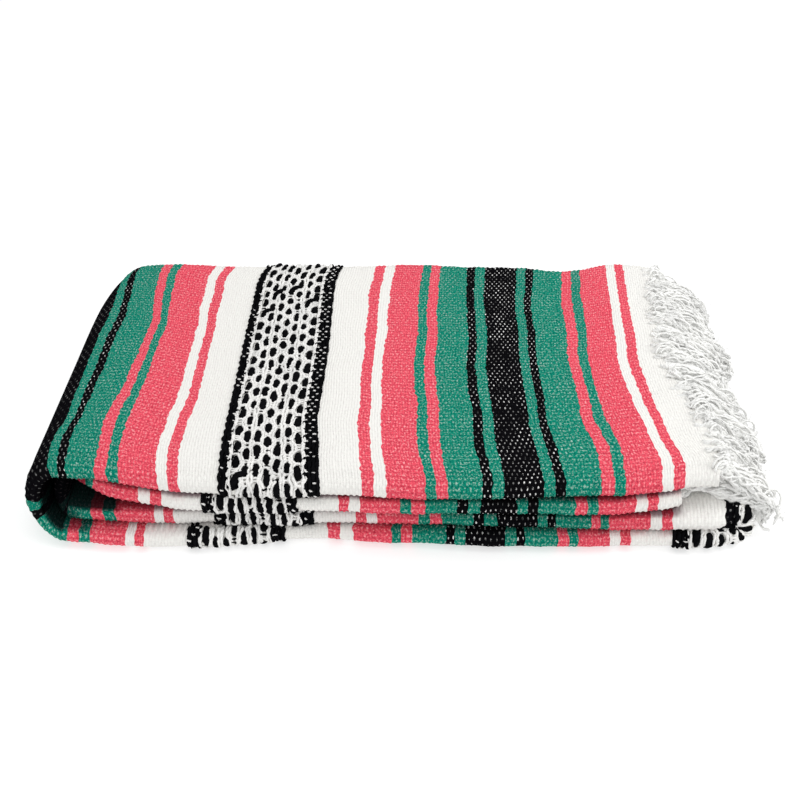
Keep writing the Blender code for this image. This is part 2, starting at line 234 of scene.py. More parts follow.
# the woven pattern: first wide black stripe, half a repeat, threads, and the blocks' columns of floats
weave = {
    "firstBlack": 129.0,
    "halfRepeat": 171.0,
    "weft": 1.95,
    "warp": 4.15,
    "column": 6.95,
    "columnShift": 1.2,
    "dash": 18.4,
    "stagger": 0.27,
    "fringedEnd": -7.0,
}
weft, warp, firstBlack, halfRepeat = (weave[k] for k in ("weft", "warp", "firstBlack", "halfRepeat"))


def smooth(value):
    value = min(1.0, max(0.0, value))
    return value * value * (3 - 2 * value)


def hermite(a, b, slopeA, slopeB, share):
    s2, s3 = share * share, share ** 3
    return (
        a * (2 * s3 - 3 * s2 + 1) + slopeA * (s3 - 2 * s2 + share)
        + b * (3 * s2 - 2 * s3) + slopeB * (s3 - s2)
    )


def through(rows, place, column=1):  # a soft curve through a table's rows
    if rows[0][0] > rows[-1][0]:
        rows = rows[::-1]
    if place <= rows[0][0]:
        return rows[0][column]
    if place >= rows[-1][0]:
        return rows[-1][column]
    k = 0
    while rows[k + 1][0] < place:
        k += 1
    a, b = rows[k], rows[k + 1]
    before, after = rows[max(0, k - 1)], rows[min(len(rows) - 1, k + 2)]
    wide = b[0] - a[0]
    slopeA = (b[column] - before[column]) / (b[0] - before[0]) * wide
    slopeB = (after[column] - a[column]) / (after[0] - a[0]) * wide
    return hermite(a[column], b[column], slopeA, slopeB, (place - a[0]) / wide)


def between(rows, place):  # straight between a table's rows, and on past them
    if rows[0][0] > rows[-1][0]:
        rows = rows[::-1]
    k = 0
    while k < len(rows) - 2 and rows[k + 1][0] < place:
        k += 1
    a, b = rows[k], rows[k + 1]
    return a[1] + (b[1] - a[1]) * (place - a[0]) / (b[0] - a[0])


def uneven(place, seed, reach=31.0):  # a steady wobble from about -1 to 1
    turn = place / reach
    return (
        0.5 * sin(turn * 2.1 + seed * 1.7) + 0.3 * sin(turn * 4.7 + seed * 3.1)
        + 0.2 * sin(turn * 9.3 + seed * 0.9)
    )


def rise(x):
    return blanket["lift"] * smooth((blanket["liftFrom"] - x) / blanket["liftLength"])


def packPlace(pack, x):  # a place along the cloth: its middle line, outward direction, front and back
    lift = rise(x) if pack in ("first", "second") else 0.0
    seed = 10 if pack == "fourth" else 9
    start, length, table = endShares[pack]
    return SimpleNamespace(
        pack=pack, x=x, z=levels[pack] + lift, nx=0.0, nz=1.0 if pack in ("first", "third") else -1.0,
        front=through(packRows[pack], x, 1) + 0.7 * uneven(x, seed, 24.0),
        back=through(packRows[pack], x, 2) + 0.8 * uneven(x, seed + 5, 29.0),
        left=smooth((150 - x) / 250), end=smooth((x - start) / length), table=table,
    )


def loopPlace(name, reach, turn, packs, share):
    first, last = (packPlace(pack, packRows[pack][-1][0]) for pack in packs)
    middle, high = (first.z + last.z) / 2, abs(first.z - last.z) / 2
    away, up = sin(pi * share), cos(pi * share) * turn
    size = hypot(away / reach, up / high) * turn
    eased = smooth(share)
    return SimpleNamespace(
        pack=name, x=first.x - reach * away, z=middle + high * up, nx=-away / reach / size, nz=up / high / size,
        front=first.front + (last.front - first.front) * eased + 5 * away,
        back=first.back + (last.back - first.back) * eased - 4 * away,
        left=first.left, end=0.0, table=None,
    )


def foldPlace(share):
    low, top = (packPlace(pack, foldX) for pack in ("fourth", "third"))
    middle, radius = (top.z + low.z) / 2, (top.z - low.z) / 2
    angle = -pi / 2 + pi * share
    out, up = cos(angle), sin(angle)
    eased = smooth(share)
    return SimpleNamespace(
        pack="fold", x=foldX + radius * out, z=middle + radius * up, nx=out, nz=up,
        front=low.front + (top.front - low.front) * eased + 3 * out,
        back=low.back + (top.back - low.back) * eased,
        left=0.0, end=low.end, table=low.table,
    )


def sectionLine(place):
    back = depth / 2 + place.back
    nose = -depth / 2 + place.front + half * noseStretch
    return nose, back


def bulge(place, y):
    share = min(1.0, max(0.0, (y + depth / 2) / depth))
    moved = -place.left * through(leftBulge, share)
    if place.table:
        moved += place.end * through(place.table, share)
    return moved


def topWave(x, y):
    share = (y + depth / 2) / depth
    height = 0.0
    for at, deep, reach, reachDeep, high in topWaves:
        height += high * (1 - smooth(hypot((x - at) / reach, (share - deep) / reachDeep)))
    for (ax, ay), (bx, by), wide, high in topCreases:
        along = ((x - ax) * (bx - ax) + (y - ay) * (by - ay)) / ((bx - ax) ** 2 + (by - ay) ** 2)
        held = min(1.0, max(0.0, along))
        off = hypot(x - ax - (bx - ax) * held, y - ay - (by - ay) * held)
        height += high * (1 - smooth(off / wide)) * (1 - 0.5 * abs(held - 0.5))
    return height


def sag(place, y):  # the raised left end hangs down again at its front corner
    high = smooth((place.z - 22) / 10)
    return 0.9 * rise(place.x) * high * (1 - smooth((y + 162) / 52))


def inMetres(x, y, z):  # from the blanket's own frame
    return Vector(((x + blanket["sideShift"]) * 0.001, (y + blanket["depthShift"]) * 0.001, z * 0.001))


def setDown(place, y, n):
    return inMetres(place.x + place.nx * n + bulge(place, y), y, place.z + place.nz * n - sag(place, y))


# ------- the way along the cloth: q counts from the upper fringed end
def flatStretch(pack, start, end, step):
    count = max(1, round(abs(end - start) / step))
    return [packPlace(pack, start + (end - start) * i / count) for i in range(count + 1)]


def roundStretch(make, steps):
    return [make(i / steps) for i in range(1, steps)]


def outerLoop(share):
    return loopPlace("outerLoop", outerReach, 1.0, ("first", "fourth"), share)


def innerLoop(share):
    reach = (levels["second"] + blanket["lift"] - levels["third"]) / 2
    return loopPlace("innerLoop", reach, -1.0, ("third", "second"), share)


def countWay(places, start):  # gives each place its way along the outer face
    way = start
    last = None
    for place in places:
        here = (place.x + place.nx * half, place.z + place.nz * half)
        if last:
            way += dist(here, last)
        place.q = way
        last = here
    return way


wayStarts = {"first": 0.0}
loopLength = countWay(roundStretch(outerLoop, 40) + [packPlace("fourth", outerX)], 0.0) + 2.0
wayStarts["fourth"] = endFirst - outerX + loopLength
wayStarts["fold"] = wayStarts["fourth"] + foldX - outerX
wayStarts["third"] = wayStarts["fold"] + pi * (half + pitch / 2)
wayStarts["loopIn"] = wayStarts["third"] + foldX - innerX
wayStarts["second"] = wayStarts["loopIn"] + 9.0


def wayOnPack(pack, x):
    starts = {"first": endFirst, "fourth": outerX, "third": foldX, "second": innerX}
    return wayStarts[pack] + abs(x - starts[pack])


# ------- pattern places
def lineWays():  # for each border of the top, its way at each depth
    ways, bend = [], blanket["outerBend"]
    for pattern, spots in topLines.items():
        row = []
        for y, seen in zip(lineDepths, spots):
            x = seen
            for _ in range(4):
                x = seen - bulge(packPlace("first", max(x, outerX)), y)
            over = max(0.0, outerX - x)  # round the left loop
            row.append((y, endFirst - max(x, outerX) + bend * asin(min(1.0, over / bend))))
        ways.append((pattern, row))
    return ways


topWays = lineWays()
otherWays = sorted((wayOnPack(pack, x), pattern) for pack, rows in packLines.items() for x, pattern in rows)
underLoop = (36.0, 484.5)  # way and pattern past the top's last border


def patternAt(q, y):
    held = min(lineDepths[0], max(lineDepths[-1], y))
    rows = [(through(row, held), pattern) for pattern, row in topWays]
    way = rows[-1][0]
    if q < way:
        return max(weave["fringedEnd"], between(rows, q))  # the fringed end is white
    return between([rows[-1], (way + underLoop[0], underLoop[1]), *otherWays], q)


# ------- cloth walls
sectionCounts = {"return": 2, "curl": 8, "nose": 16, "under": 8}
wallLook = {
    "step": 0.98,
    "skip": 6,
    "rib": 0.5,
    "wobble": 0.3,
    "block": 0.5,
    "grain": 0.10,
    "tuck": 3.6,
    "tuckLeft": 3.0,
    # painted shade given evenly to the walls' inner faces and to the folded layers
    "insideShade": 0.6,
    "coreStep": 2.5,
    "coreShade": 0.5,
}


def sectionPoints(place, top, trim):  # outer and inner line across a wall: Y, height over the middle line
    nose, back = sectionLine(place)
    curlN, curlR = (half + gap / 2) / 2, sheet + gap / 2
    start, end = back - curlR, back - trim
    counts, made = sectionCounts, []
    for radius, level, soft in ((curlR, half, 1), (gap / 2, half - sheet, -1)):
        points = []
        for i in range(counts["return"]):
            share = i / counts["return"]
            points.append((back - returnWidth + (returnWidth - curlR) * share, curlN - radius))
        for i in range(counts["curl"] + 1):
            angle = -pi / 2 + pi * i / counts["curl"]
            points.append((start + radius * cos(angle), curlN + radius * sin(angle)))
        for i in range(1, top):
            points.append((start + (nose - start) * i / top, level))
        for i in range(counts["nose"] + 1):
            angle = pi / 2 - pi * i / counts["nose"]
            points.append((nose - noseStretch * level * cos(angle), level * sin(angle)))
        for i in range(1, counts["under"]):
            points.append((nose + (end - 4 - nose) * i / (counts["under"] - 1), -level))
        points += [(end - short, -level + up * soft) for short, up in ((1.6, 0.25), (0.5, 0.65), (0, 1.1))]
        made.append(points)
    return made


def sectionWays(points, noseIndex):  # cloth places across, zero at the front of the nose
    ways = [0.0]
    for a, b in zip(points, points[1:]):
        ways.append(ways[-1] + dist(a, b))
    zero = ways[noseIndex]
    return [zero - w for w in ways]


def sectionNormals(points):
    normals = []
    for i in range(len(points)):
        a, b = points[max(0, i - 1)], points[min(len(points) - 1, i + 1)]
        dy, dn = b[0] - a[0], b[1] - a[1]
        size = hypot(dy, dn) or 1.0
        normals.append((dn / size, -dy / size))
    return normals


def raised(pattern):  # 1 within a patterned block, with soft sides
    signed = (pattern - firstBlack) % (2 * halfRepeat) - halfRepeat
    return 1 - smooth((abs(signed) - 23.5) / 5)


def creaseShade(place, n):  # painted shade: 1 deep between two packs, 0 in the open, more than 1 where a hollow is painted near black
    pack, x = place.pack, place.x
    deep, near = smooth((abs(n) / half - 0.66) / 0.34), smooth((abs(n) / half - 0.6) / 0.35)
    if pack == "innerLoop":
        return 1.5
    if pack in ("first", "outerLoop", "fold") and n > 0:
        return 0.0
    if pack == "outerLoop":
        return 1.4 * near
    # the lowest pack's underside gets painted contact shade where it meets the floor
    if pack == "fourth":
        return 0.95 * near if n > 0 else deep * (0.3 + 0.6 * smooth((-176 - x) / 12))
    if pack == "second":
        return max(deep, 0.85 * smooth((-177 - x) / 12))
    if pack == "third":
        paintedHollowShade = 1.5 * smooth((-154 - x) / 12) * smooth((n - 3) / 2.5)
        deep = 0.22 + 0.78 * max(deep, paintedHollowShade, 0.8 * smooth((-184 - x) / 13))
        return deep * (1 - smooth((x - 206) / 14)) if n > 0 else deep
    return deep


def pushOut(place, y, n, pattern, across, curved, inside):  # how far a wall's face stands out
    push = 0.0
    if curved:
        push += wallLook["rib"] * cos(pi * pattern / weft) * cos(pi * across / warp)
        push += wallLook["wobble"] * uneven(pattern + 3 * across, 2, 9.0)
    push += wallLook["block"] * raised(pattern) * inside
    if place.pack == "first" and n > half * 0.7:
        push += topWave(place.x, y)
        push += wallLook["grain"] * uneven(place.x + 0.7 * y, 4, 7.0)
    return min(push, 0.5) if place.pack in ("fourth", "fold") else push


def tucked(place, y, n):  # the lowest nose is tucked in under itself
    if place.pack not in ("fourth", "outerLoop") or n <= 0:
        return y
    tuck = wallLook["tuck"] + wallLook["tuckLeft"] * smooth((-150 - place.x) / 45)
    tuck *= smooth(-1.1 * place.nz)
    return y + tuck * smooth(n / half) * smooth((sectionLine(place)[0] + 18 - y) / 18)


def wallMesh(name, places, top, skipAcross):
    curlStart, curlEnd = sectionCounts["return"], sectionCounts["return"] + sectionCounts["curl"]
    noseIndex = curlEnd + top + sectionCounts["nose"] // 2
    firstNose, lastNose = curlEnd + top - 3, curlEnd + top + 3 + sectionCounts["nose"]
    outerRows, innerRows, rowsPattern, rowsAcross, rowsShade = [], [], [], [], []
    for place in places:
        outer, inner = sectionPoints(place, top, 1.0 + 0.9 * uneven(place.q, 3, 17.0))
        ways, normals = sectionWays(outer, noseIndex), sectionNormals(outer)
        patterns = [patternAt(place.q, y) for y, n in outer]
        rowOut = []
        for j, (y, n) in enumerate(outer):
            curved = firstNose <= j <= lastNose or curlStart <= j <= curlEnd + 1
            inside = curlStart <= j < len(outer) - 4
            push = pushOut(place, y, n, patterns[j], ways[j], curved, inside)
            if name == "lowerCloth" and place.nz < -0.7 and normals[j][1] > 0.5:
                push = 0.0  # it lies flat on the floor
            y = tucked(place, y, n)
            rowOut.append(setDown(place, y + normals[j][0] * push, n + normals[j][1] * push))
        outerRows.append(rowOut)
        innerRows.append([setDown(place, y, n) for y, n in inner])
        rowsPattern.append(patterns)
        rowsAcross.append(ways)
        # painted shade for each point of the outer face
        rowsShade.append([creaseShade(place, n) for y, n in outer])
    end, last = len(places) - 1, len(outerRows[0]) - 1
    along = [*range(0, end, wallLook["skip"]), end]  # the inner face has fewer points
    across = [*range(0, last, skipAcross), last]
    if noseIndex not in across:
        across = sorted({*across, *range(firstNose, lastNose, 2)})
    verts, marks, shades, out, under = [], [], [], {}, {}
    for index, rows, every, beside in (
        (out, outerRows, range(end + 1), range(last + 1)), (under, innerRows, along, across),
    ):
        for i in every:
            for j in beside:
                index[i, j] = len(verts)
                verts.append(rows[i][j])
                shades.append(rowsShade[i][j] if index is out else wallLook["insideShade"])
                marks.append((rowsPattern[i][j] * 0.001, rowsAcross[i][j] * 0.001))
    faces = [
        (out[i, j], out[i + 1, j], out[i + 1, j + 1], out[i, j + 1])
        for i in range(end) for j in range(last)
    ]
    for i, k in zip(along, along[1:]):
        for j, m in zip(across, across[1:]):
            faces.append((under[i, j], under[i, m], under[k, m], under[k, j]))
    for i, k in zip(along, along[1:]):  # the long edges
        faces.append([under[i, 0], under[k, 0]] + [out[c, 0] for c in range(k, i - 1, -1)])
        faces.append([out[c, last] for c in range(i, k + 1)] + [under[k, last], under[i, last]])
    for j, m in zip(across, across[1:]):  # the ends
        faces.append([out[0, c] for c in range(j, m + 1)] + [under[0, m], under[0, j]])
        faces.append([under[end, j], under[end, m]] + [out[end, c] for c in range(m, j - 1, -1)])
    piece = meshPiece(name, verts, faces, marks)
    addShade(piece, shades)
    return piece, {"points": outerRows, "pattern": rowsPattern, "across": rowsAcross, "side": 1.0}


# stores the painted shade of each point; the woven finish darkens the cloth colour by it
def addShade(piece, shades):
    piece.data.attributes.new("crease", "FLOAT", "POINT").data.foreach_set("value", shades)


def meshPiece(name, verts, faces, marks, uvName="cloth", slots=None):
    mesh = bpy.data.meshes.new(name)
    mesh.from_pydata([tuple(v) for v in verts], [], [tuple(f) for f in faces])
    layer = mesh.uv_layers.new(name=uvName)
    flat = []
    for loop in mesh.loops:
        flat.extend(marks[loop.vertex_index])
    layer.data.foreach_set("uv", flat)
    if slots:
        mesh.polygons.foreach_set("material_index", slots)
    mesh.validate()
    piece = bpy.data.objects.new(name, mesh)
    bpy.context.scene.collection.objects.link(piece)
    bm = bmesh.new()
    bm.from_mesh(mesh)
    bmesh.ops.recalc_face_normals(bm, faces=bm.faces)
    bm.to_mesh(mesh)
    bm.free()
    mesh.polygons.foreach_set("use_smooth", [True] * len(mesh.polygons))
    mesh.update()
    return piece


def makeWalls():
    step = wallLook["step"]
    upper = flatStretch("first", endFirst, outerX, step) + roundStretch(outerLoop, 72)
    upper.append(packPlace("fourth", outerX))
    upper[-1].x -= gap
    lower = flatStretch("fourth", outerX, foldX, step) + roundStretch(foldPlace, 34)
    lower.append(packPlace("third", foldX))
    inner = flatStretch("third", foldX - gap, innerX, step) + roundStretch(innerLoop, 18)
    inner += flatStretch("second", innerX, endSecond, step)
    made = {}
    for key, places, start, top, skip in (  # top: points across; skip: of them on the inner face
        ("upper", upper, 0.0, 84, 5),
        ("lower", lower, wayStarts["fourth"], 26, 4),
        ("inner", inner, wayStarts["third"] + gap, 14, 3),
    ):
        countWay(places, start)
        made[key] = wallMesh(key + "Cloth", places, top, skip)
    return made


walls = makeWalls()
print("cloth walls", {k: len(v[0].data.polygons) for k, v in walls.items()})


# ------- the layers between, seen as edges at the back
def corePoints(place):
    nose, back = sectionLine(place)
    level = sheet + gap / 2
    step = back - returnWidth - 0.6
    edge = back - 3.0 - 0.8 * uneven(place.q, 7, 15.0)
    upper = [(edge, -1.1), (edge - 0.5, -0.55), (edge - 1.6, -gap / 2), (step + 0.2, -gap / 2), (step, level)]
    upper += [(nose + (step - nose) * f, level) for f in (0.75, 0.5, 0.25, 0.0)]
    angles = (0.5, 1.0, pi / 2, 2.14, 2.64)
    turn = [(nose - noseStretch * level * sin(a), level * cos(a)) for a in angles]
    lower = [(nose + (edge - 4 - nose) * f, -level) for f in (0.0, 0.25, 0.5, 0.75, 1.0)]
    lower += [(edge - 1.6, -level), (edge - 0.5, -level + 0.4), (edge, -2.2)]
    return upper + turn + lower


def makeCore():
    step = wallLook["coreStep"]
    places = flatStretch("first", endFirst, outerX, step) + roundStretch(outerLoop, 40)
    places += flatStretch("fourth", outerX, foldX, step) + roundStretch(foldPlace, 18)
    places += flatStretch("third", foldX, innerX, step) + roundStretch(innerLoop, 12)
    places += flatStretch("second", innerX, endSecond, step)
    countWay(places, 0.0)
    verts, marks, faces = [], [], []
    for place in places:
        points = corePoints(place)
        ways = sectionWays(points, 11)  # the middle of its nose
        for (y, n), across in zip(points, ways):
            verts.append(setDown(place, y, n))
            marks.append((patternAt(place.q, y) * 0.001, across * 0.001))
    size = len(corePoints(places[0]))
    for i in range(len(places) - 1):
        for j in range(size):
            k = (j + 1) % size
            faces.append((i * size + j, (i + 1) * size + j, (i + 1) * size + k, i * size + k))
    faces.append(list(range(size)))
    faces.append([(len(places) - 1) * size + j for j in range(size)][::-1])
    piece = meshPiece("foldedLayers", verts, faces, marks)
    # the folded layers get an even painted shade
    addShade(piece, [wallLook["coreShade"]] * len(verts))
    return piece


core = makeCore()
print("folded layers", len(core.data.polygons))


# ------- places on a wall's outer face
def seek(count, holds):  # the last of the steps for which the test holds
    low, high = 0, count - 1
    while high - low > 1:
        mid = (low + high) // 2
        low, high = (mid, high) if holds(mid) else (low, mid)
    return low


def onCloth(grid, pattern, across, lift):
    rows, patterns, ways = grid["points"], grid["pattern"], grid["across"]
    i = len(rows) // 2
    turned = patterns[0][0] > patterns[-1][0]
    for _ in range(3):
        line = ways[i]
        j = min(seek(len(line), lambda k: line[k] >= across), len(line) - 2)
        shareJ = min(1.0, max(0.0, (line[j] - across) / (line[j] - line[j + 1])))
        i = seek(len(rows), lambda k: (patterns[k][j] <= pattern) != turned)
    a, b = patterns[i][j], patterns[i + 1][j]
    shareI = min(1.0, max(0.0, (pattern - a) / (b - a))) if b != a else 0.0
    p00, p10 = rows[i][j], rows[i + 1][j]
    p01, p11 = rows[i][j + 1], rows[i + 1][j + 1]
    point = p00.lerp(p10, shareI).lerp(p01.lerp(p11, shareI), shareJ)
    normal = (p10 - p00).normalized().cross((p00 - p01).normalized()).normalized()
    return point + normal * lift * 0.001 * grid["side"], normal * grid["side"]


for piece, grid in walls.values():
    row = len(grid["points"]) // 4
    j = min(range(len(grid["across"][row])), key=lambda k: abs(grid["across"][row][k]))
    if onCloth(grid, grid["pattern"][row][j], 0.0, 0.0)[1].y > 0:  # the nose's outer side looks to the front
        grid["side"] = -1.0


# ------- tubes of yarn
upward = Vector((0, 0, 1))


class Skein:  # gathers yarn tubes and turns them into one piece
    def __init__(self):
        self.verts, self.faces, self.marks, self.slots = [], [], [], []

    def tube(self, points, wides, highs, sides, slot, turn=0.0, uppers=None):
        base, last = len(self.verts), len(points) - 1
        way = random.random() * 0.05
        for i, point in enumerate(points):
            ahead = (points[min(last, i + 1)] - points[max(0, i - 1)]).normalized()
            if i:
                way += (point - points[i - 1]).length
            side = ahead.cross(uppers[i] if uppers else upward)
            side = side.normalized() if side.length > 1e-6 else ahead.orthogonal().normalized()
            up = side.cross(ahead).normalized()
            for k in range(sides):
                angle = 2 * pi * k / sides + turn
                spot = point + (side * cos(angle) * wides[i] + up * sin(angle) * highs[i]) * 0.001
                self.verts.append(spot)
                self.marks.append((way, k / sides))
        for i in range(last):
            a, b = base + i * sides, base + (i + 1) * sides
            for k in range(sides):
                m = (k + 1) % sides
                self.faces.append((a + k, a + m, b + m, b + k))
        self.faces.append([base + k for k in range(sides)][::-1])
        self.faces.append([base + last * sides + k for k in range(sides)])
        self.slots += [slot] * (last * sides + 2)

    def piece(self, name):
        return meshPiece(name, self.verts, self.faces, self.marks, "yarn", self.slots)


# ------- the patterned blocks: black floats under a net of white yarn
blockLook = {
    "strand": 1.15,
    "strandHigh": 1.0,
    "spread": 0.92,
    "push": 1.12,
    "float": 2.75,
    "floatHigh": 2.0,
    "tie": 0.66,
    "tieReach": 5.6,
    "blackTies": 0.16,
    "merge": 0.05,
    "floatLong": (9.4, 14.2),
    "floatLongNose": (12, 17),
    "floatShift": 2.2,
    "topPart": (10, 286),
    "slant": (1.1, 2.3),
    "border": (1.42, 1.15),
    "dot": (0.45, 0.8),
    "pitch": 1.75,
    "wideBorder": (-24.6, -27.2, -29.9, -32.3),
    "thinBorder": (26.9, 29.5, 32.1),
}


def floatSpans(column, low, high, noise):  # where a column's black floats lie across the cloth
    spans = []
    shift = weave["stagger"] * column + 0.16 * sin(2.1 * column)
    at = floor(low / weave["dash"] - shift) - 1
    while True:
        centre = (at + 0.5 + shift) * weave["dash"] + blockLook["floatShift"] * noise.uniform(-1, 1)
        if centre > high + 4:
            return spans
        length = noise.uniform(*blockLook["floatLong" if high - low > 60 else "floatLongNose"])
        start, end = max(low, centre - length / 2), min(high, centre + length / 2)
        if end - start > 5:
            spans.append((start, end))
        at += 1


def covered(spans, across):  # 1 beside a float's middle, 0 between two floats
    best = 0.0
    for a, b in spans:
        if a - 2 < across < b + 2:
            best = max(best, smooth(min(across - a + 1.4, b + 1.4 - across) / 3.6))
    return best


def columnPlace(c):
    return c * weave["column"] + weave["columnShift"]


def yarnLine(skein, grid, spots, sides, slot):  # spots: pattern, across, lift, wide, high
    points, uppers = [], []
    for pattern, across, lift, wide, high in spots:
        point, normal = onCloth(grid, pattern, across, lift)
        point.z = max(point.z, high * 0.001)
        points.append(point)
        uppers.append(normal)
    skein.tube(points, [s[3] for s in spots], [s[4] for s in spots], sides, slot, uppers=uppers)


def addStrands(skein, grid, middle, columns, steps, noise):  # white yarns between the columns
    for c in range(-4, 4):
        left, right = columns.get(c, []), columns.get(c + 1, [])
        edge = -1 if c == -4 else 1 if c == 3 else 0
        for part in (-1, 1):
            phase, beat = noise.uniform(0, 6), noise.uniform(1.35, 1.7)
            spots = []
            for across in steps:
                push = covered(left, across) - covered(right, across)
                loose = (1 - covered(left, across)) * (1 - covered(right, across))
                off = columnPlace(c + 0.5) + part * blockLook["spread"] * (0.55 if edge else 1 + 0.5 * loose)
                off += blockLook["push"] * push * (0.6 if edge else 1.0) + 0.3 * sin(across / 2.9 + phase)
                lift = 0.8 + 0.32 * sin(across * pi / warp + phase) + 0.3 * loose
                bobble = 1 + 0.24 * sin(across * beat + phase * 2) + 0.12 * loose
                size = blockLook["strand"] * bobble * (0.72 if edge else 1.0)
                tucked = smooth((across - steps[0]) / 4) * smooth((steps[-1] - across) / 4)
                lift = lift * tucked - 1.2 * (1 - tucked)
                spots.append((middle + off, across, lift, size, blockLook["strandHigh"] * bobble))
            yarnLine(skein, grid, spots, 6, 0)


def addFloats(skein, grid, middle, columns, noise):
    shape = ((0.0, 0.4), (0.08, 0.78), (0.25, 0.98), (0.5, 1.04), (0.75, 0.98), (0.92, 0.78), (1.0, 0.4))
    for c, spans in columns.items():
        for a, b in spans:
            near, far = blockLook["topPart"]
            reach = blockLook["slant"][0 if near < a < far else 1]
            drift, slant = noise.uniform(-0.4, 0.4), noise.uniform(-reach, reach)
            fat, lump = noise.uniform(0.72, 1.08), noise.uniform(0, 6)
            proud = 0.9 * smooth((a - far) / 14) * noise.random()
            spots = []
            for share, size in shape:
                size *= fat * (1 + 0.08 * sin(share * 9 + lump))
                off = columnPlace(c) + drift + slant * (share - 0.5)
                lift = 0.3 + 0.35 * size + proud
                wide, high = blockLook["float"] * size, blockLook["floatHigh"] * size
                spots.append((middle + off, a + (b - a) * share, lift, wide, high))
            yarnLine(skein, grid, spots, 8, 1)
            if c < 3 and noise.random() < blockLook["merge"]:  # a float that runs on into its neighbour
                near = [s for s in columns[c + 1] if abs(s[0] - b) < 6 or abs(s[1] - a) < 6]
                if near:
                    other = near[0]
                    onward = abs(other[0] - b) < 6
                    start, end = (b - 2.5, other[0] + 2.5) if onward else (a + 2.5, other[1] - 2.5)
                    bridge = ((0, 0.6), (0.25, 0.9), (0.5, 1.0), (0.75, 0.9), (1, 0.6))
                    spots = [
                        (middle + columnPlace(c + f), start + (end - start) * f, 1.5, 3.0 * size, 2.1 * size)
                        for f, size in bridge
                    ]
                    yarnLine(skein, grid, spots, 7, 1)


def addTies(skein, grid, middle, columns, noise):  # thin threads over the gaps between floats
    for c, spans in columns.items():
        for (a, b), (d, e) in zip(spans, spans[1:]):
            count = 2 if d - b < 5.5 else 3
            for k in range(count):
                across = b + (d - b) * (k + 0.7) / (count + 0.4)
                tilt = noise.uniform(-1.3, 1.3)
                size = blockLook["tie"] * noise.uniform(0.75, 1.3)
                place = middle + columnPlace(c)
                spots = [
                    (place + f * blockLook["tieReach"], across + f * tilt, lift, size * 1.2, size)
                    for f, lift in ((-0.5, 0.3), (-0.25, 1.15), (0.0, 1.35), (0.25, 1.15), (0.5, 0.3))
                ]
                yarnLine(skein, grid, spots, 5, 1 if noise.random() < blockLook["blackTies"] else 0)


def addBorders(skein, grid, middle, steps, low, high, noise):  # black yarns tied down by white dots
    for places, keep in ((blockLook["wideBorder"], 0.8), (blockLook["thinBorder"], 0.35)):
        for k, place in enumerate(places):
            phase = noise.uniform(0, 6)
            spots = []
            for across in steps:
                beat = sin(across * pi / warp + k * pi)
                off = place + 0.3 * sin(across / 3.3 + phase) + 0.25 * beat
                swell = 1 + 0.16 * beat + 0.12 * sin(across * 1.3 + phase)
                wide, tall = (size * swell for size in blockLook["border"])
                spots.append((middle + off, across, 0.5 + 0.25 * beat, wide, tall))
            yarnLine(skein, grid, spots, 6, 1)
        for k, place in enumerate([(a + b) / 2 for a, b in zip(places, places[1:])]):
            at = low + 2 + (k % 2) * warp
            while at < high - 2:
                if noise.random() < keep:
                    size = noise.uniform(*blockLook["dot"])
                    spot = middle + place + noise.uniform(-0.3, 0.3)
                    arch = ((-1.1, 1.15), (0, 1.5), (1.1, 1.15))
                    rows = [(spot + f, at + 0.2 * f, lift, size, size) for f, lift in arch]
                    yarnLine(skein, grid, rows, 5, 0)
                at += 2 * warp


def addBlock(skein, grid, middle, low, high, seed):
    noise = random.Random(seed)
    columns = {c: floatSpans(c, low, high, noise) for c in range(-3, 4)}
    count = int((high - low) / blockLook["pitch"])
    steps = [low + (high - low) * i / count for i in range(count + 1)]
    addStrands(skein, grid, middle, columns, steps, noise)
    addFloats(skein, grid, middle, columns, noise)
    addTies(skein, grid, middle, columns, noise)
    addBorders(skein, grid, middle, steps, low, high, noise)


def makeBlocks():
    made = {}
    random.seed(11)
    for key, name, rows in (
        ("upper", "upperBlockYarn", ((300.0, -13.0, 322.0, 5),)),
        ("lower", "lowerBlockYarn", ((642.0, -13.0, 12.5, 6), (984.0, -13.0, 12.5, 7))),
        ("inner", "innerBlockYarn", ((1326.0, -13.0, 13.0, 8), (1668.0, -13.0, 13.0, 9))),
    ):
        skein = Skein()
        for middle, low, high, seed in rows:
            addBlock(skein, walls[key][1], middle, low, high, seed)
        made[key] = skein.piece(name)
    return made


blocks = makeBlocks()
print("block yarns", {k: len(v.data.polygons) for k, v in blocks.items()})

# ------- fringe: twisted locks and loose yarns
fringes = {  # rows: height over the pack's middle, reach round the fold, number of locks
    "upperFringe": {
        "pack": "first", "seed": 21, "curls": 130,
        "rows": ((5.9, 22.8, 33), (2.2, 20.6, 31), (-3.2, 18.2, 26)),
    },
    "innerFringe": {"pack": "second", "seed": 22, "curls": 50, "rows": ((3.2, 16.6, 26), (-3.0, 15.2, 26))},
}
lockLook = {
    "yarns": 3,
    "yarn": 1.24,
    "spread": 1.35,
    "twist": 600.0,
    "steps": 42,
    "kink": 2.2,
    "sway": 3.0,
    "swell": 2.6,
    "roam": 1.6,
    "ripple": 0.5,
    "fray": 3.6,
    "mat": 42,
    "matWide": 5.2,
    "matHigh": 1.1,
    "hairs": 260,
    "hair": 0.16,
    "clear": 0.0012,
    "slant": 46,
    "slantSpread": 16,
    "footFree": (2.0, 15.0),
    "leanWave": 6.0,
    "leanSpread": 7.0,
    "leanFront": 8.0,
    "clump": 4.5,
    "clumpPitch": 27,
    "overlap": (1.5, 8.0),
    "frontFlare": 8,
}
# share of the depth from the front, further out, further up
lockReach = (
    (0, 6, 0), (0.05, 3, 0), (0.1, -3, 0), (0.17, -7, 0), (0.24, -4, 0), (0.29, 4, 0), (0.335, -4, 0),
    (0.38, -5, 0), (0.43, -9, 0), (0.48, -9, 0), (0.53, -8, 0), (0.57, -2, 1), (0.62, 8, 1), (0.66, 8, 0),
    (0.71, -2, 0), (0.82, -3, 0), (0.92, 0, 0), (1, 1, 3),
)


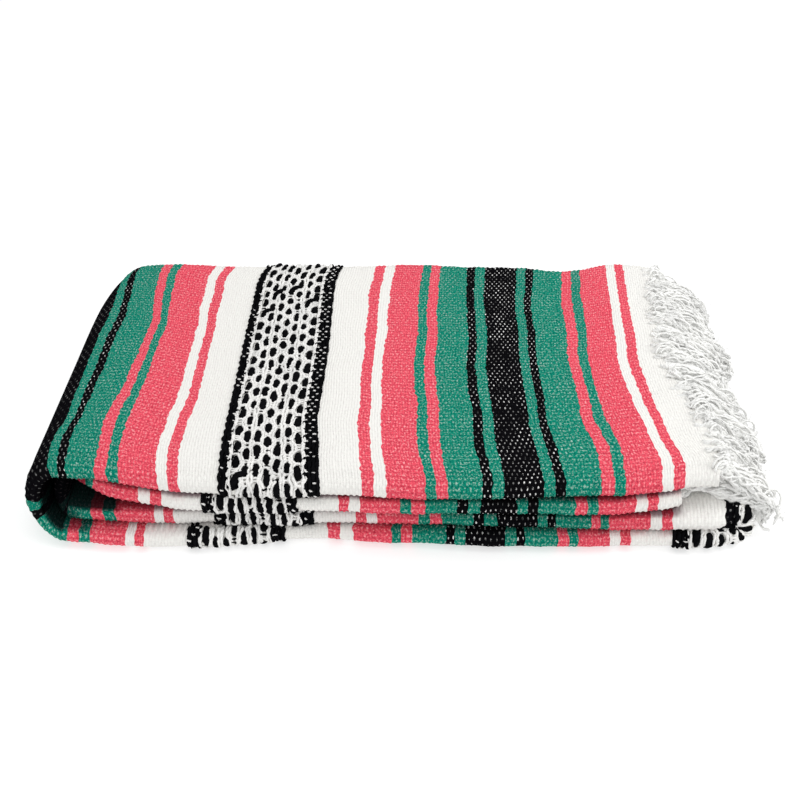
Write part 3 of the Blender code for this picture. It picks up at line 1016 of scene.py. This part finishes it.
def softPath(points, count):  # an even curve through a few points
    made = []
    for i in range(count + 1):
        at = (len(points) - 1) * i / count
        k = min(int(at), len(points) - 2)
        a, b = points[k], points[k + 1]
        before = points[k - 1] if k else a * 2 - b
        after = points[k + 2] if k + 2 < len(points) else b * 2 - a
        made.append(hermite(a, b, (b - before) * 0.5, (after - a) * 0.5, at - k))
    return made


def wavyPath(points):  # neighbours swing and swell together
    made = softPath(points, lockLook["steps"])
    for k, point in enumerate(made):
        share = k / lockLook["steps"]
        free = smooth((share - 0.05) / 0.25) * 0.001
        way, y = 60 * share, point.y * 1000
        point.y += free * lockLook["sway"] * sin(way / 8.0 + y / 10.0 + 2 * sin(y / 23.0))
        lifted = free * lockLook["swell"] * (0.5 + 0.5 * sin(way / 5.5 - y / 6.5 + 1.5 * sin(y / 17.0)))
        point.z += lifted * (1 - share)
        point.x += lifted * share
    return made


def lockPath(start, place, y, level, radius, noise, calm=1.0):
    middle = (levels["third"] + levels["fourth"]) / 2
    share = (y + depth / 2) / depth
    further, higher = through(lockReach, share, 1), through(lockReach, share, 2)
    slant = radians(lockLook["slant"] + lockLook["slantSpread"] * calm * noise.uniform(-1, 1))
    radius += noise.uniform(-0.8, 1.3) * calm + 0.25 * higher
    out = further + calm * noise.choice((0.0, 0.5, 1.5, 4.0))
    foot = noise.uniform(*lockLook["footFree"]) if calm == 1.0 else 6.0
    foot *= 1 - 0.8 * smooth((0.16 - share) / 0.1)
    lean = calm * (lockLook["leanWave"] * sin(y / 13.0) + lockLook["leanSpread"] * noise.uniform(-1, 1))
    lean -= lockLook["leanFront"] * smooth(-y / depth)
    lean -= lockLook["clump"] * calm * sin(2 * pi * y / lockLook["clumpPitch"])
    begin, fold = bulge(place, y), bulge(packPlace("third", foldX), y)
    flare = lockLook["frontFlare"] * smooth((0.15 - share) / 0.1)
    z = place.z + level
    over = noise.uniform(*lockLook["overlap"]) if level > 5 else lockLook["overlap"][0]
    droop = max(middle + radius * 0.98, z - 5 - noise.uniform(0, 3)) if radius > 18 else middle + radius
    rows = [
        (start - over + begin, y, z),
        (start + 2.5 + begin, y + 0.05 * lean, z + calm * noise.uniform(-0.4, 1.1)),
        (foldX - 7 + fold, y + 0.25 * lean, droop + 0.4 * higher),
        (
            foldX + radius * sin(slant) + 0.6 * out + fold, y + 0.55 * lean,
            middle + radius * cos(slant) + 0.5 * higher,
        ),
        (foldX + radius + 0.9 * out + fold, y + 0.8 * lean, middle + 2.5 + 0.3 * higher),
        (foldX + radius + out + fold + flare, y + lean + noise.uniform(-3, 3) * calm, foot),
    ]
    return [inMetres(*row) for row in rows]


def offFloor(spot):
    spot.z = max(spot.z, lockLook["clear"])
    return spot


def addLock(skein, path, noise):  # a few curly yarns wound round one another, frayed at the end
    steps = len(path) - 1
    kink, phase, beat = lockLook["kink"] * noise.uniform(0.4, 1.3), noise.uniform(0, 6), noise.uniform(13, 25)
    twist = lockLook["twist"] * noise.choice((-1, 1)) * noise.uniform(0.6, 1.2)
    centre, way = [], [0.0]
    for k, point in enumerate(path):
        share = k / steps
        free = smooth((share - 0.04) / 0.3)
        centre.append(point + Vector((
            0.45 * kink * sin(beat * share + phase * 2), kink * sin(beat * 0.8 * share + phase),
            0.6 * kink * sin(beat * 1.1 * share + phase * 3),
        )) * free * 0.001)
        if k:
            way.append(way[-1] + (centre[k] - centre[k - 1]).length)
    for yarn in range(lockLook["yarns"]):
        turned = 2 * pi * yarn / lockLook["yarns"] + noise.uniform(-0.4, 0.4)
        stop = steps - noise.randint(0, 11)
        curl, own = noise.uniform(0.3, 1.0), noise.uniform(0, 6)
        wave, ripple = noise.uniform(20, 38), noise.uniform(55, 80)
        points = []
        for k in range(stop + 1):
            share = k / steps
            ahead = (centre[min(steps, k + 1)] - centre[max(0, k - 1)]).normalized()
            side = ahead.cross(Vector((0, 0, 1))).normalized()
            up = side.cross(ahead)
            angle = turned + twist * way[k]
            spread = lockLook["spread"] * (0.8 + 0.3 * sin(9 * share + own))
            free = smooth((share - 0.05) / 0.2)
            roam = (lockLook["roam"] * free + lockLook["fray"] * smooth((share - 0.45) / 0.55)) * curl
            fine = lockLook["ripple"] * free
            spot = centre[k] + (side * cos(angle) + up * sin(angle)) * spread * 0.001
            spot += (side * sin(own + wave * share) + up * cos(own * 2 + 0.85 * wave * share)) * roam * 0.001
            spot += (side * sin(own * 3 + ripple * share) + up * cos(own + ripple * share)) * fine * 0.001
            points.append(offFloor(spot))
        sizes = [
            lockLook["yarn"] * (1 if k < stop else 0.4) * (1 + 0.2 * sin(k * 1.3 + own))
            for k in range(stop + 1)
        ]
        skein.tube(points, sizes, sizes, 4, 0, own)


def addCurl(skein, path, noise):  # a short single yarn that loops over the others
    begin = noise.randint(0, 24)
    stop = min(len(path) - 1, begin + noise.randint(9, 16))
    phase, curl, beat = noise.uniform(0, 6), noise.uniform(1.5, 4.0), noise.uniform(0.5, 1.05)
    points = []
    for k in range(begin, stop + 1):
        angle = beat * (k - begin) + phase
        high = 0.55 * curl * sin(angle * 1.1 + 1) + 0.6
        push = Vector((0.8 * curl * sin(angle), curl * cos(angle * 0.9), high))
        points.append(offFloor(path[k] + push * 0.001 * (0.35 + 0.65 * smooth((k - begin) / 3))))
    points = softPath(points, 2 * len(points))
    size = noise.uniform(0.65, 1.05)
    sizes = [size] * (len(points) - 1) + [size * 0.5]
    skein.tube(points, sizes, sizes, 4, 0)


def addHair(skein, path, noise):  # fluff round the fringe
    begin = noise.randint(4, 31)
    start = path[begin]
    away = Vector((noise.uniform(0.2, 1.0), noise.uniform(-1, 1), noise.uniform(-0.4, 0.8))).normalized()
    side = away.orthogonal().normalized() * noise.choice((-1, 1))
    length, bend = noise.uniform(4, 10), noise.uniform(0.5, 3)
    shares = (0, 0.25, 0.5, 0.75, 1)
    points = [offFloor(start + (away * length * f + side * bend * sin(3 * f)) * 0.001) for f in shares]
    sizes = [lockLook["hair"]] * len(shares)
    skein.tube(points, sizes, sizes, 3, 0)


def makeFringe(name):
    row = fringes[name]
    noise = random.Random(row["seed"])
    random.seed(row["seed"])
    start = endFirst if row["pack"] == "first" else endSecond
    place = packPlace(row["pack"], start)
    nose, back = sectionLine(place)
    front, rear = nose - 4.0, back - 4.5
    skein = Skein()
    level, radius, count = row["rows"][0]
    for i in range(lockLook["mat"]):  # flat locks that fill the middle
        y = front + 9 + (rear - front - 12) * (i + 0.5) / lockLook["mat"]
        path = wavyPath(lockPath(start, place, y, level - 1.6, radius - 1.8, noise, 0.12))
        wides = [lockLook["matWide"] - 1.2 * k / lockLook["steps"] for k in range(len(path))]
        skein.tube(path, wides, [lockLook["matHigh"]] * len(path), 6, 0)
    for level, radius, count in row["rows"]:
        for i in range(count):
            y = front + (rear - front) * (i + 0.5 + noise.uniform(-0.35, 0.35)) / count
            addLock(skein, wavyPath(lockPath(start, place, y, level, radius, noise)), noise)
    level, radius, count = row["rows"][0]
    for _ in range(row["curls"]):
        y, further = noise.uniform(front, rear), noise.uniform(0.3, 2.2)
        addCurl(skein, wavyPath(lockPath(start, place, y, level + 0.6, radius + further, noise)), noise)
    for _ in range(lockLook["hairs"]):
        y, further = noise.uniform(front, rear), noise.uniform(0, 2)
        addHair(skein, wavyPath(lockPath(start, place, y, level, radius + further, noise)), noise)
    return skein.piece(name)


fringePieces = {name: makeFringe(name) for name in fringes}
print("fringes", {k: len(v.data.polygons) for k, v in fringePieces.items()})


# ------- finishes
class Wire:  # a socket that takes sums and products
    def __init__(self, finish, socket):
        self.finish = finish
        self.socket = socket

    def maths(self, operation, *others):
        return self.finish.node("ShaderNodeMath", {"operation": operation}, [self, *others])

    def __add__(self, other):
        return self.maths("ADD", other)

    __radd__ = __add__

    def __sub__(self, other):
        return self.maths("SUBTRACT", other)

    def __rsub__(self, other):
        return self.finish.node("ShaderNodeMath", {"operation": "SUBTRACT"}, [other, self])

    def __mul__(self, other):
        return self.maths("MULTIPLY", other)

    __rmul__ = __mul__

    def __truediv__(self, other):
        return self.maths("DIVIDE", other)

    def cosine(self):
        return self.maths("COSINE")

    def size(self):
        return self.maths("ABSOLUTE")

    def ramp(self, low, high):  # softly from 0 to 1
        return self.finish.node("ShaderNodeMapRange", {"interpolation_type": "SMOOTHSTEP"}, [self, low, high])


class Finish:
    def __init__(self, name):
        self.material = bpy.data.materials.new(name)
        self.material.use_nodes = True
        self.tree = self.material.node_tree
        self.shader = self.tree.nodes["Principled BSDF"]
        setInputs(self.shader, {"Roughness": 0.95, "Specular IOR Level": 0.0})

    def node(self, kind, settings=None, values=(), output=0):
        made = self.tree.nodes.new(kind)
        for key, value in (settings or {}).items():
            if key == "stops":
                made.color_ramp.interpolation = "CONSTANT"
                for place, colour in value[2:]:
                    made.color_ramp.elements.new(place).color = colour
                for element, (place, colour) in zip(list(made.color_ramp.elements), sorted(value)):
                    element.position = place
                    element.color = colour
            else:
                setattr(made, key, value)
        pairs = values.items() if isinstance(values, dict) else enumerate(values)
        for key, value in pairs:
            if isinstance(value, Wire):
                self.tree.links.new(value.socket, made.inputs[key])
            else:
                made.inputs[key].default_value = value
        return Wire(self, made.outputs[output])

    def split(self, vector):  # the first two numbers of a place
        outputs = self.node("ShaderNodeSeparateXYZ", None, [vector]).socket.node.outputs
        return Wire(self, outputs[0]), Wire(self, outputs[1])

    def blend(self, share, first, second, kind="MIX"):
        settings = {"data_type": "RGBA", "blend_type": kind}
        return self.node("ShaderNodeMix", settings, {0: share, 6: first, 7: second}, 2)

    def noise(self, vector, scale, detail=2.0, rough=0.5, kind="2D"):
        values = {"Vector": vector, "Scale": scale, "Detail": detail, "Roughness": rough}
        return self.node("ShaderNodeTexNoise", {"noise_dimensions": kind}, values)

    def connect(self, colour, height, distance, strength=1.0):
        self.tree.links.new(colour.socket, self.shader.inputs["Base Color"])
        bump = self.node("ShaderNodeBump", None, {"Height": height, "Distance": distance, "Strength": strength})
        self.tree.links.new(bump.socket, self.shader.inputs["Normal"])


clothColours = {  # the last number says how well the white warp shows through
    "black": (0.0045, 0.0045, 0.0055, 1.0),
    "green": (0.0050, 0.256, 0.168, 0.30),
    "coral": (0.84, 0.094, 0.138, 0.24),
    "white": (0.82, 0.815, 0.78, 0.0),
    "blackSoft": (0.0045, 0.0045, 0.0055, 0.55),
}
# the first three tint the wool itself; the last two are painted shade, for the creases between packs and the
# near black hollow at the left end
shadeColours = {
    "deep": (0.52, 0.34, 0.42, 1.0),
    "pale": (0.92, 0.90, 0.86, 1.0),
    "dot": (0.80, 0.80, 0.78, 1.0),
    "crease": (0.26, 0.17, 0.20, 1.0),
    "paintedHollowShade": (0.003, 0.003, 0.004, 1.0),
}
# where each stripe starts, counted from the middle of a wide black stripe to a block's middle
stripes = (
    (0.0, "black"), (13.5, "green"), (21.5, "black"), (28.5, "green"), (52.0, "coral"), (60.0, "green"),
    (67.0, "coral"), (93.0, "white"), (101.0, "coral"), (109.0, "white"), (138.0, "blackSoft"),
    (145.5, "white"),
)


clothLook = {
    "slow": (16.0, 5.0),  # scale and width of the borders' wobble
    "mid": (105.0, 2.6),
    "tooth": 0.24,
    "grain": 520.0,
    "patches": 42.0,
    "speck": 620.0,
    "cloud": 130.0,
    "fuzz": 900.0,
    "leftEnd": (450.0, 458.0, 500.0, 510.0),  # pattern places where the white dots grow rare, and back
    "leftEndCut": 0.82,
    "blockHalf": 25.0,
    "bump": 0.0008,
    "bumpStrength": 0.65,
}


def wovenFinish(name):
    finish = Finish(name)
    uv = finish.node("ShaderNodeUVMap", {"uv_map": "cloth"})
    place, across = (wire * 1000.0 for wire in finish.split(uv))
    slow = (finish.noise(uv, clothLook["slow"][0], 1.0) - 0.5) * clothLook["slow"][1]
    mid = (finish.noise(uv, clothLook["mid"][0], 2.0) - 0.5) * clothLook["mid"][1]
    # threads: wefts run across, warps show as staggered dots
    wavy = place + slow
    wefts = (wavy * (pi / weft)).cosine()
    warps = (across * (pi / warp)).cosine()
    crossing = wefts * warps
    bent = wavy + mid + warps * clothLook["tooth"]
    band = (bent - firstBlack).maths("PINGPONG", halfRepeat) / halfRepeat
    stops = [(at / halfRepeat, clothColours[key]) for at, key in stripes]
    bandColour = finish.node("ShaderNodeValToRGB", {"stops": stops}, [band])
    dotShare = Wire(finish, bandColour.socket.node.outputs["Alpha"])
    grain = finish.noise(uv, clothLook["grain"], 1.0)
    patches = finish.noise(uv, clothLook["patches"], 2.0).ramp(0.36, 0.60)
    a, b, c, d = clothLook["leftEnd"]
    leftEnd = 1.0 - place.ramp(a, b) * (1.0 - place.ramp(c, d)) * clothLook["leftEndCut"]
    dots = crossing.ramp(0.48, 0.80) * grain.ramp(0.42, 0.62) * (patches * 0.75 + 0.25) * dotShare * leftEnd
    # patterned block, flat version
    signed = (place - firstBlack - halfRepeat).maths("WRAP", halfRepeat, -halfRepeat)
    column = signed / weave["column"]
    cell = (column + 0.5).maths("FLOOR")
    offCentre = (column - cell).size()
    turns = across / weave["dash"] - cell * weave["stagger"]
    along = (turns.maths("FRACT") - 0.5).size()
    inDash = (offCentre * 1.25).maths("POWER", 3.0) + (along * 1.45).maths("POWER", 3.0)
    dash = 1.0 - inDash.ramp(0.030, 0.060)
    inBlock = 1.0 - signed.size().ramp(clothLook["blockHalf"], clothLook["blockHalf"] + 0.4)
    colour = finish.blend(dash * inBlock, bandColour, clothColours["black"])
    # uneven dye and wool, darker between the threads
    speck = finish.noise(uv, clothLook["speck"], 2.0, 0.65)
    cloud = finish.noise(uv, clothLook["cloud"], 2.0)
    deep = finish.blend(1.0, colour, shadeColours["deep"], "MULTIPLY")
    gaps = 1.0 - wefts.size().ramp(0.0, 0.6)
    ribs = warps.size().ramp(0.0, 0.75)
    coloured = dotShare.ramp(0.0, 0.1) * 0.86 + 0.14
    dark = speck.ramp(0.48, 0.66) * 0.52 + gaps * 0.2 + (1.0 - ribs) * 0.3 + cloud.ramp(0.5, 0.7) * 0.1
    colour = finish.blend(dark * coloured, colour, deep)
    pale = finish.blend(0.70, colour, shadeColours["pale"])
    dyed = dotShare.ramp(0.0, 0.2) * (1.0 - dotShare.ramp(0.35, 0.5))  # neither white nor black
    colour = finish.blend(speck.ramp(0.44, 0.34) * (ribs * 0.36 + 0.05) * dyed, colour, pale)
    colour = finish.blend(dots, colour, shadeColours["dot"])
    # painted shade: darker in the creases between packs, near black in the hollow at the left end
    paintedHollowShade = finish.node("ShaderNodeAttribute", {"attribute_name": "crease"}, (), 2)
    shadow = finish.blend(1.0, colour, shadeColours["crease"], "MULTIPLY")
    colour = finish.blend(paintedHollowShade.ramp(0.0, 1.0) * 0.9, colour, shadow)
    colour = finish.blend(paintedHollowShade.ramp(1.0, 1.4) * 0.85, colour, shadeColours["paintedHollowShade"])
    fuzz = finish.noise(uv, clothLook["fuzz"], 2.0)
    height = crossing * -0.25 + wefts.size() * 0.6 + fuzz * 0.8 + grain * 0.35
    finish.connect(colour, height, clothLook["bump"], clothLook["bumpStrength"])
    return finish.material


yarnColours = {  # light, deep, twist, depth of the bumps, painted glow: an even emission that lightens the fringe's shade
    "whiteYarn": ((0.88, 0.87, 0.85, 1), (0.66, 0.66, 0.65, 1), 1500.0, 0.0005, 0.0),
    "blackYarn": ((0.0055, 0.0055, 0.0065, 1), (0.002, 0.002, 0.0025, 1), 1500.0, 0.0005, 0.0),
    "fringeYarn": ((0.83, 0.83, 0.81, 1), (0.69, 0.69, 0.68, 1), 1400.0, 0.0003, 0.07),
}


def yarnFinish(name):
    light, deep, twist, distance, paintedGlow = yarnColours[name]
    finish = Finish(name)
    # painted light: the fringe yarn glows evenly to lift its shade; the other yarns have none
    setInputs(finish.shader, {"Emission Color": (1.0, 1.0, 0.98, 1.0), "Emission Strength": paintedGlow})
    way, around = finish.split(finish.node("ShaderNodeUVMap", {"uv_map": "yarn"}))
    plies = (way * twist + around * (4 * pi)).cosine()
    objectPlace = finish.node("ShaderNodeTexCoord", None, (), 3)
    fuzz = finish.noise(objectPlace, 900.0, 3.0, 0.6, "3D")
    tone = finish.noise(objectPlace, 60.0, 1.0, 0.5, "3D")
    grooves = (0.5 - plies * 0.5).ramp(0.35, 1.0)
    shade = grooves * 0.35 + fuzz.ramp(0.5, 0.75) * 0.25 + tone.ramp(0.42, 0.62) * 0.4
    finish.connect(finish.blend(shade, light, deep), plies * 0.6 + fuzz * 0.9, distance, 0.8)
    return finish.material


woven = wovenFinish("wovenStripes")
whiteYarn, blackYarn, fringeYarn = (yarnFinish(name) for name in yarnColours)
print("finishes made")

# ------- dress the frame
upperCloth, lowerCloth, innerCloth = (walls[k][0] for k in ("upper", "lower", "inner"))
for piece, node, slot in (
    (upperCloth, "upper_stretch", "woven_coral"),
    (lowerCloth, "lower_stretch", "woven_green"),
    (innerCloth, "inner_stretch", "woven_white"),
    (core, "hidden_layers", "woven_black"),
):
    piece.data.materials.append(woven)
    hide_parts(node)
    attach(piece, "root")
for key, piece in blocks.items():
    piece.data.materials.append(whiteYarn)
    piece.data.materials.append(blackYarn)
    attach(piece, "root")
for piece, node, slot in (
    (fringePieces["upperFringe"], "upper_fringe", "fringe_yarn"),
    (fringePieces["innerFringe"], "inner_fringe", "fringe_yarn_low"),
):
    piece.data.materials.append(fringeYarn)
    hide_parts(node)
    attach(piece, "root")

dressed = (upperCloth, lowerCloth, innerCloth, core, *blocks.values(), *fringePieces.values())
print("triangles", sum(len(face.vertices) - 2 for piece in dressed for face in piece.data.polygons))
